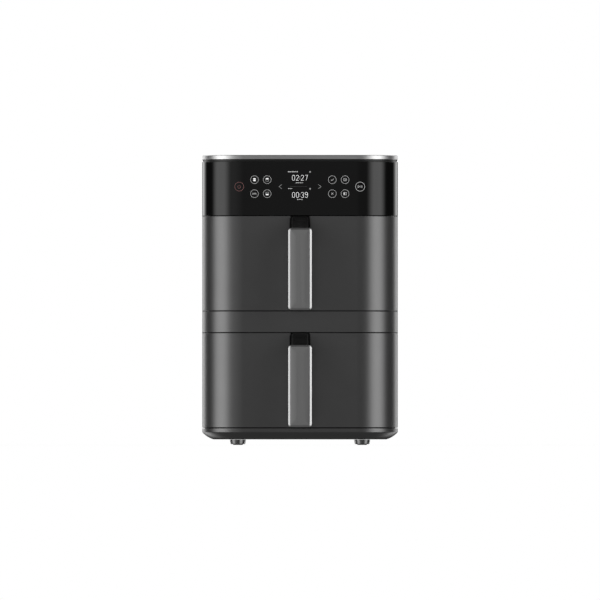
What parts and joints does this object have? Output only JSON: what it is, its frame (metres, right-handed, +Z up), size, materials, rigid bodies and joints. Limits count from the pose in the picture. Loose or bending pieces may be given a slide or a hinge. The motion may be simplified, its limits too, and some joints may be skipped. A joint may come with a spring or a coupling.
{
  "type": "air fryer",
  "caption": "Countertop air fryer with stacked pull-out drawers, each with a lift-out crisper plate, a rear convection fan and a touch control panel above.",
  "frame": {"origin": "on the surface the feet stand on, under the middle of the overall box", "axes": "+X to the right seen from the front, +Y from the front to the back, +Z up; the drawers open along -Y"},
  "size_m": [0.274, 0.44, 0.4055],
  "materials": {
    "grey_paint": "satin dark grey metallic paint",
    "gloss_black": "high gloss black",
    "matte_black": "fine matt moulded black",
    "chrome": "bright chrome plate",
    "handle_grey": "satin grey anodised",
    "rubber": "matt black rubber",
    "non_stick": "dark grey non-stick coating",
    "steel": "stamped stainless steel sheet",
    "aluminised": "aluminised sheet",
    "heater": "heat-darkened steel tube",
    "motor": "plated motor steel",
    "board": "green solder mask",
    "display": "dark display face, white digits when lit"
  },
  "bodies": {
    "housing": {"base_tray": "grey_paint", "base_deck": "matte_black", "housing_shell": "grey_paint", "rear_cover": "matte_black", "cord_gland": "matte_black", "top_frame": "matte_black", "trim_ring": "chrome", "top_cover": "matte_black", "control_panel": "gloss_black", "panel_carrier": "matte_black", "touch_board": "board", "display_module": "display", "middle_band": "grey_paint", "front_frame": "matte_black", "heat_shield": "aluminised", "power_board": "board", "foot_front_left": "rubber", "foot_front_right": "rubber", "foot_rear_left": "rubber", "foot_rear_right": "rubber", "chamber_lower": "aluminised", "rail_left_lower": "steel", "rail_right_lower": "steel", "fan_guard_lower": "steel", "fan_box_lower": "aluminised", "heating_element_lower": "heater", "fan_motor_lower": "motor", "temperature_sensor_lower": "steel", "drawer_switch_lower": "matte_black", "chamber_upper": "aluminised", "rail_left_upper": "steel", "rail_right_upper": "steel", "fan_guard_upper": "steel", "fan_box_upper": "aluminised", "heating_element_upper": "heater", "fan_motor_upper": "motor", "temperature_sensor_upper": "steel", "drawer_switch_upper": "matte_black"},
    "drawer_lower": {"drawer_front_lower": "grey_paint", "drawer_liner_lower": "matte_black", "pan_lower": "non_stick", "handle_neck_lower": "matte_black", "handle_cover_lower": "handle_grey"},
    "plate_lower": {"crisper_plate_lower": "non_stick"},
    "fan_lower": {"fan_shaft_lower": "steel", "fan_wheel_lower": "aluminised", "cooling_fan_lower": "matte_black"},
    "plunger_lower": {"switch_plunger_lower": "matte_black"},
    "drawer_upper": {"drawer_front_upper": "grey_paint", "drawer_liner_upper": "matte_black", "pan_upper": "non_stick", "handle_neck_upper": "matte_black", "handle_cover_upper": "handle_grey"},
    "plate_upper": {"crisper_plate_upper": "non_stick"},
    "fan_upper": {"fan_shaft_upper": "steel", "fan_wheel_upper": "aluminised", "cooling_fan_upper": "matte_black"},
    "plunger_upper": {"switch_plunger_upper": "matte_black"}
  },
  "joints": [
    {"name": "drawer_lower_slide", "type": "slide", "parent": "housing", "child": "drawer_lower", "axis": [0, -1, 0], "range_m": [0, 0.21]},
    {"name": "plate_lower_lift", "type": "slide", "parent": "drawer_lower", "child": "plate_lower", "axis": [0, 0, 1], "range_m": [0, 0.085]},
    {"name": "fan_lower_spin", "type": "hinge", "parent": "housing", "child": "fan_lower", "pos_m": [0, 0.156, 0.09135], "axis": [0, 1, 0], "continuous": true},
    {"name": "plunger_lower_travel", "type": "slide", "parent": "housing", "child": "plunger_lower", "axis": [0, -1, 0], "range_m": [0, 0.0025]},
    {"name": "drawer_upper_slide", "type": "slide", "parent": "housing", "child": "drawer_upper", "axis": [0, -1, 0], "range_m": [0, 0.21]},
    {"name": "plate_upper_lift", "type": "slide", "parent": "drawer_upper", "child": "plate_upper", "axis": [0, 0, 1], "range_m": [0, 0.085]},
    {"name": "fan_upper_spin", "type": "hinge", "parent": "housing", "child": "fan_upper", "pos_m": [0, 0.156, 0.25485], "axis": [0, 1, 0], "continuous": true},
    {"name": "plunger_upper_travel", "type": "slide", "parent": "housing", "child": "plunger_upper", "axis": [0, -1, 0], "range_m": [0, 0.0025]}
  ],
  "couplings": [
    {"joint": "plunger_lower_travel", "follows": "drawer_lower_slide", "ratio": 0.0119},
    {"joint": "plunger_upper_travel", "follows": "drawer_upper_slide", "ratio": 0.0119}
  ]
}
